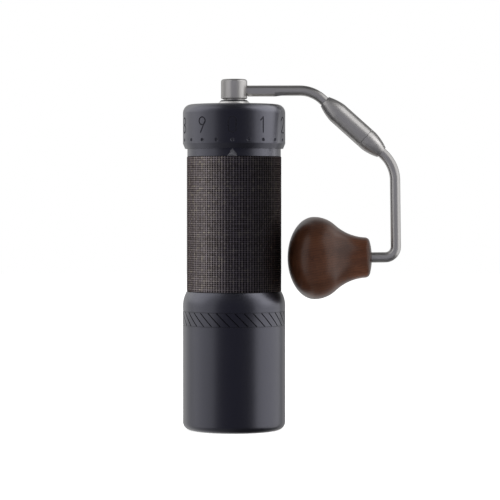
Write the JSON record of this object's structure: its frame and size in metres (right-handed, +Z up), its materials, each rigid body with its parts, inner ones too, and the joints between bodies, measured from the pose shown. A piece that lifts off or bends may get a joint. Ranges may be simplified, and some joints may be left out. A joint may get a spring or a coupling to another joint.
{
  "type": "hand crank coffee grinder",
  "caption": "Upright hand coffee grinder with grip sleeve, catch cup, engraved grind dial and conical burrs; its crank folds down beside the body and ends in a turned wooden knob.",
  "frame": {"origin": "centre of the cup's flat base, on the spin axis", "axes": "+Z up along the spin axis, -Y the front with the pointer, +X towards the folded crank"},
  "size_m": [0.1277, 0.06, 0.2053],
  "materials": {
    "anodised_body": "satin anodised, dark slate",
    "grip": "moulded rubber with an irregular woven texture",
    "satin_steel": "satin ground stainless steel",
    "lid_metal": "satin turned",
    "bare_aluminium": "machined",
    "burr_steel": "ground hardened steel",
    "shaft_steel": "ground steel",
    "bearing_steel": "polished",
    "spring_steel": "drawn wire",
    "brass": "machined",
    "magnet": "nickel plated",
    "gasket": "moulded",
    "walnut": "dark stained, satin lacquered, fine straight grain"
  },
  "bodies": {
    "housing": {"body_tube": "anodised_body", "grip_sleeve": "grip", "lower_spider": "bare_aluminium", "lower_bearing_outer": "bearing_steel", "lower_bearing_balls": "bearing_steel", "ring_burr": "burr_steel", "burr_clamp_ring": "shaft_steel", "clamp_magnets": "magnet"},
    "lower_race": {"lower_bearing_inner": "bearing_steel", "burr_spring": "spring_steel"},
    "lift_carrier": {"click_carrier": "bare_aluminium", "click_balls": "bearing_steel", "click_springs": "spring_steel"},
    "dial": {"dial_ring": "anodised_body", "dial_nut": "brass", "click_ring": "shaft_steel", "bearing_bridge": "bare_aluminium", "bridge_screws": "shaft_steel", "upper_bearing_outer": "bearing_steel", "upper_bearing_balls": "bearing_steel"},
    "spindle": {"drive_shaft": "shaft_steel", "upper_bearing_inner": "bearing_steel", "shaft_clips": "shaft_steel", "inner_burr": "burr_steel", "burr_washer": "shaft_steel", "burr_nut": "shaft_steel"},
    "lid": {"lid_disc": "lid_metal", "lid_gasket": "gasket"},
    "crank": {"crank_hub": "satin_steel", "hub_magnet": "magnet", "lid_clip": "shaft_steel", "upper_arm": "satin_steel", "joint_sleeve": "satin_steel", "joint_bush": "brass", "joint_spring": "spring_steel"},
    "joint_slider": {"joint_washer": "shaft_steel"},
    "lower_crank": {"joint_spindle": "shaft_steel", "joint_nut": "shaft_steel", "joint_cap": "satin_steel", "lower_arm": "satin_steel", "knob_clip": "shaft_steel"},
    "knob": {"knob_wood": "walnut", "knob_bush": "brass"},
    "cup": {"cup_shell": "anodised_body", "keeper_ring": "shaft_steel"}
  },
  "joints": [
    {"name": "dial_travel", "type": "slide", "parent": "housing", "child": "lift_carrier", "axis": [0, 0, -1], "range_m": [0, 0.002]},
    {"name": "dial_turn", "type": "hinge", "parent": "lift_carrier", "child": "dial", "pos_m": [0, 0, 0.16445], "axis": [0, 0, -1], "range_deg": [0, 360]},
    {"name": "crank_turn", "type": "hinge", "parent": "lift_carrier", "child": "spindle", "pos_m": [0, 0, 0.17653], "axis": [0, 0, 1], "continuous": true},
    {"name": "race_turn", "type": "hinge", "parent": "housing", "child": "lower_race", "pos_m": [0, 0, 0.08313], "axis": [0, 0, 1], "continuous": true},
    {"name": "crank_lift", "type": "slide", "parent": "spindle", "child": "crank", "axis": [0, 0, 1], "range_m": [0, 0.025]},
    {"name": "lid_lift", "type": "slide", "parent": "dial", "child": "lid", "axis": [0, 0, 1], "range_m": [0, 0.025]},
    {"name": "crank_pull", "type": "slide", "parent": "crank", "child": "joint_slider", "axis": [0.7431, 0, -0.6691], "range_m": [0, 0.004], "stiffness_N_per_m": 2000, "springref_m": -0.003},
    {"name": "crank_fold", "type": "hinge", "parent": "joint_slider", "child": "lower_crank", "pos_m": [0.046, 0, 0.19858], "axis": [0.7431, 0, -0.6691], "range_deg": [0, 180]},
    {"name": "knob_spin", "type": "hinge", "parent": "lower_crank", "child": "knob", "pos_m": [0.0314, 0, 0.10025], "axis": [-0.9999, 0, -0.0113], "continuous": true},
    {"name": "cup_release", "type": "slide", "parent": "housing", "child": "cup", "axis": [0, 0, -1], "range_m": [0, 0.04]}
  ],
  "couplings": [
    {"joint": "dial_travel", "follows": "dial_turn", "m_per_rad": 0.000318},
    {"joint": "race_turn", "follows": "crank_turn", "ratio": 1},
    {"joint": "lid_lift", "follows": "crank_lift", "ratio": 1}
  ]
}
